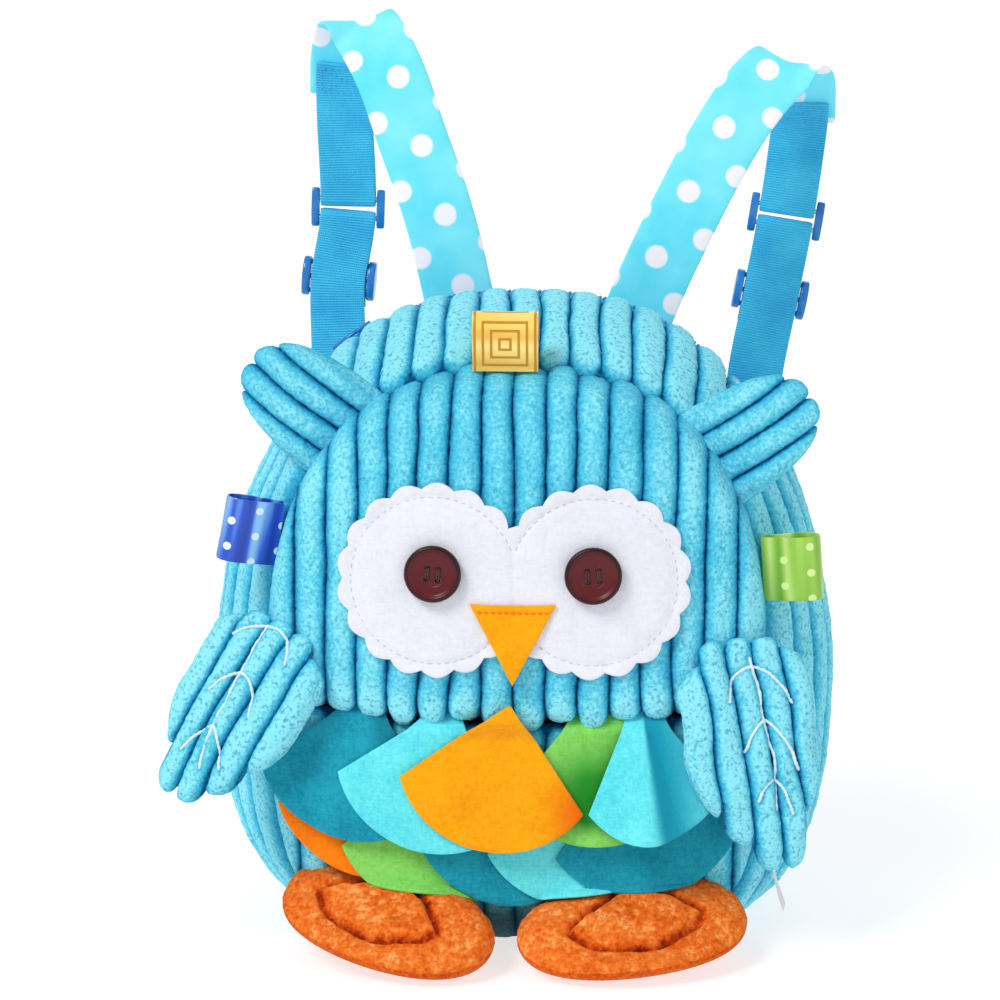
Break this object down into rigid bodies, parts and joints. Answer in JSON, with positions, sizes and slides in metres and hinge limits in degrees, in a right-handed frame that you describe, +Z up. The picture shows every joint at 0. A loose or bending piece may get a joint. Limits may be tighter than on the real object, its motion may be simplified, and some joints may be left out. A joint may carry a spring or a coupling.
{
  "type": "toddler backpack",
  "caption": "Turquoise wide-rib plush owl toddler backpack with felt feathers, button eyes, wings, orange feet and dotted shoulder straps.",
  "frame": {"origin": "middle of the flat base, on the floor", "axes": "+Z up, -Y the owl's face, +X the viewer's right"},
  "size_m": [0.2822, 0.2348, 0.3832],
  "materials": {
    "plush": "wide-rib short-pile plush",
    "plush_rear": "short-pile plush",
    "white_felt": "felt",
    "orange_felt": "felt",
    "amber_felt": "felt",
    "green_felt": "felt",
    "teal_felt": "felt",
    "aqua_felt": "felt",
    "button": "glossy",
    "foot_plush": "terry plush",
    "dotted_strap": "smooth knit with white dots, padded",
    "webbing": "woven webbing",
    "slider_plastic": "satin",
    "zip_tape": "woven tape with a coil",
    "yellow_ribbon": "satin ribbon",
    "blue_ribbon": "satin ribbon",
    "green_ribbon": "satin ribbon",
    "label": "smooth"
  },
  "bodies": {
    "root": {"face_panel": "plush", "belly_panel": "plush", "top_gusset": "plush", "side_gusset_left": "plush", "side_gusset_right": "plush", "ear_left": "plush", "ear_right": "plush", "wing_left": "plush", "wing_right": "plush", "rear_band": "plush_rear", "base_panel": "plush_rear", "back_panel": "plush_rear", "eye_patch": "white_felt", "beak": "orange_felt", "feather_top_orange": "orange_felt", "feather_low_amber": "amber_felt", "feather_low_green": "green_felt", "feather_top_green": "green_felt", "feather_low_teal": "teal_felt", "feather_low_deep": "teal_felt", "feather_top_teal": "teal_felt", "feather_low_aqua": "aqua_felt", "feather_top_aqua": "aqua_felt", "feather_top_curl": "aqua_felt", "eye_button_left": "button", "eye_button_right": "button", "foot_left": "foot_plush", "foot_right": "foot_plush", "shoulder_strap_left": "dotted_strap", "shoulder_strap_right": "dotted_strap", "ring_webbing_left": "webbing", "ring_webbing_right": "webbing", "lower_webbing_left": "webbing", "lower_webbing_right": "webbing", "strap_ring_left": "slider_plastic", "strap_ring_right": "slider_plastic", "strap_slider_left": "slider_plastic", "strap_slider_right": "slider_plastic", "zip_pull": "slider_plastic", "zipper": "zip_tape", "ribbon_tag_yellow": "yellow_ribbon", "ribbon_tag_blue": "blue_ribbon", "ribbon_tag_green": "green_ribbon", "care_label": "label"}
  },
  "joints": []
}
